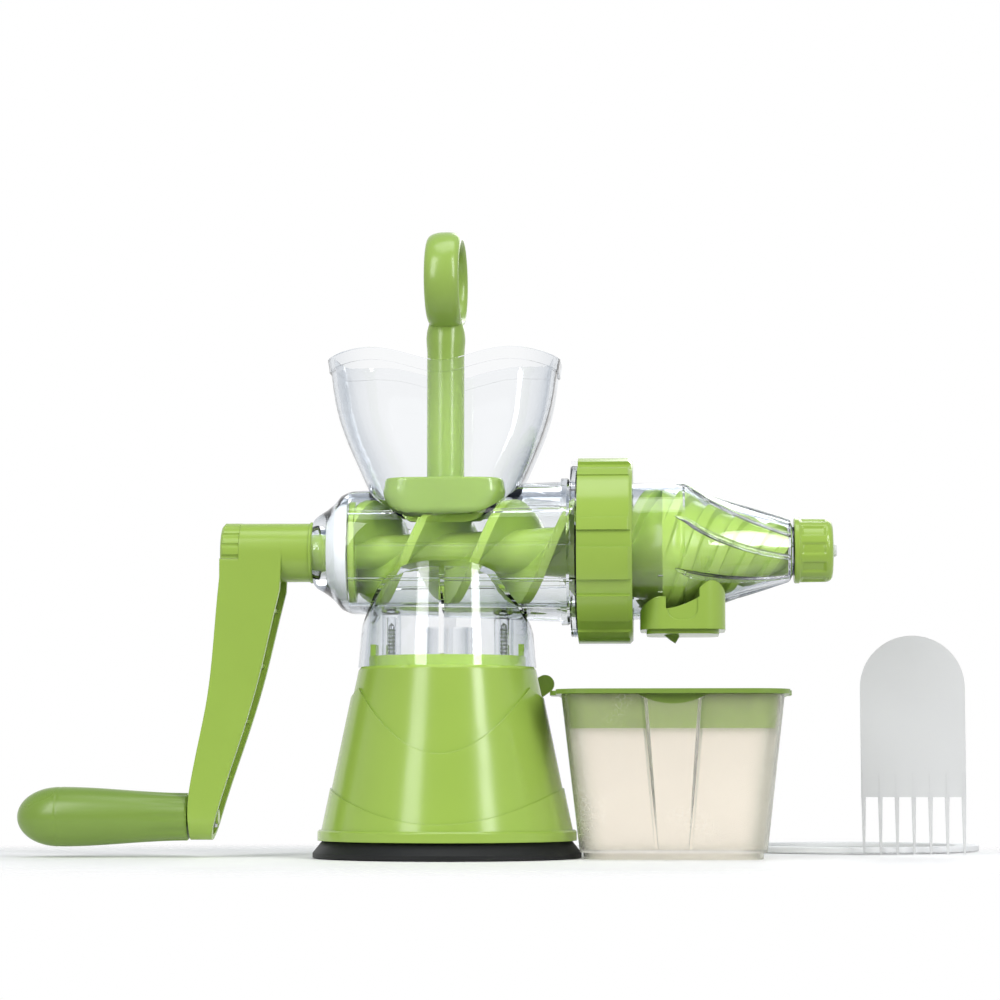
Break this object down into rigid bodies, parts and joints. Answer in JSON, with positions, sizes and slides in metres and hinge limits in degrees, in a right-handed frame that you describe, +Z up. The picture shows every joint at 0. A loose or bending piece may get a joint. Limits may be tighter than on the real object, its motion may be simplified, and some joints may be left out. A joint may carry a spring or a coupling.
{
  "type": "manual juicer",
  "caption": "Hand-cranked wheatgrass juicer on a suction foot, with a clear hopper and cone, juice cup, comb and spare ring.",
  "frame": {"origin": "middle of the suction foot underside, on the table", "axes": "+Z up, +X along the barrel from the crank to the end cap, -Y to the front that the picture shows"},
  "size_m": [0.4721, 0.263, 0.301],
  "materials": {
    "green_plastic": "glossy yellow-green plastic",
    "clear_plastic": "clear polished plastic",
    "frosted_plastic": "milky frosted plastic",
    "black_rubber": "matt black rubber",
    "white_silicone": "white silicone",
    "comb_plastic": "milky plastic",
    "steel": "plated steel"
  },
  "bodies": {
    "base": {"suction_foot": "black_rubber", "foot_clamp": "steel", "foot_screws": "steel", "base_shell": "green_plastic", "body_screws": "steel", "clear_body": "clear_plastic", "shaft_seal": "white_silicone", "cone_gasket": "white_silicone", "strainer_cone": "clear_plastic"},
    "crank": {"crank_arm": "green_plastic", "crank_nut": "green_plastic", "drive_stud": "steel", "auger": "green_plastic", "grip_axle": "green_plastic", "axle_nut": "steel"},
    "grip": {"grip": "green_plastic"},
    "pusher": {"pusher": "green_plastic"},
    "collar": {"collar": "green_plastic"},
    "cap": {"end_cap": "green_plastic", "pressure_valve": "white_silicone"},
    "spout": {"juice_spout": "green_plastic"},
    "cup": {"juice_cup": "frosted_plastic"},
    "cup_strainer": {"cup_strainer": "green_plastic"},
    "lever": {"suction_lever": "green_plastic", "lever_clip": "steel"},
    "stem": {"suction_stem": "green_plastic"},
    "comb": {"cleaning_comb": "comb_plastic"},
    "spare_ring": {"spare_ring": "white_silicone"}
  },
  "joints": [
    {"name": "crank_turn", "type": "hinge", "parent": "base", "child": "crank", "pos_m": [0, 0, 0.1455], "axis": [1, 0, 0], "continuous": true},
    {"name": "grip_spin", "type": "hinge", "parent": "crank", "child": "grip", "pos_m": [-0.165, 0, 0.019], "axis": [1, 0, 0], "continuous": true},
    {"name": "pusher_lift", "type": "slide", "parent": "base", "child": "pusher", "axis": [0, 0, 1], "range_m": [0, 0.085]},
    {"name": "collar_turn", "type": "hinge", "parent": "base", "child": "collar", "pos_m": [0.076, 0, 0.1455], "axis": [1, 0, 0], "range_deg": [0, 60]},
    {"name": "cap_turn", "type": "hinge", "parent": "base", "child": "cap", "pos_m": [0.175, 0, 0.1455], "axis": [1, 0, 0], "range_deg": [0, 180]},
    {"name": "spout_drop", "type": "slide", "parent": "base", "child": "spout", "axis": [0, 0, -1], "range_m": [0, 0.02]},
    {"name": "cup_slide", "type": "slide", "parent": "base", "child": "cup", "axis": [1, 0, 0], "range_m": [0, 0.09]},
    {"name": "strainer_lift", "type": "slide", "parent": "cup", "child": "cup_strainer", "axis": [0, 0, 1], "range_m": [0, 0.012]},
    {"name": "lever_turn", "type": "hinge", "parent": "base", "child": "lever", "pos_m": [0, 0.03, 0.055], "axis": [0, -1, 0], "range_deg": [0, 90]},
    {"name": "stem_lift", "type": "slide", "parent": "base", "child": "stem", "axis": [0, 0, 1], "range_m": [0, 0.003]},
    {"name": "comb_lift", "type": "slide", "parent": "base", "child": "comb", "axis": [0, 0, 1], "range_m": [0, 0.1]},
    {"name": "ring_lift", "type": "slide", "parent": "base", "child": "spare_ring", "axis": [0, 0, 1], "range_m": [0, 0.1]}
  ],
  "couplings": [
    {"joint": "stem_lift", "follows": "lever_turn", "m_per_rad": 0.0019098}
  ]
}
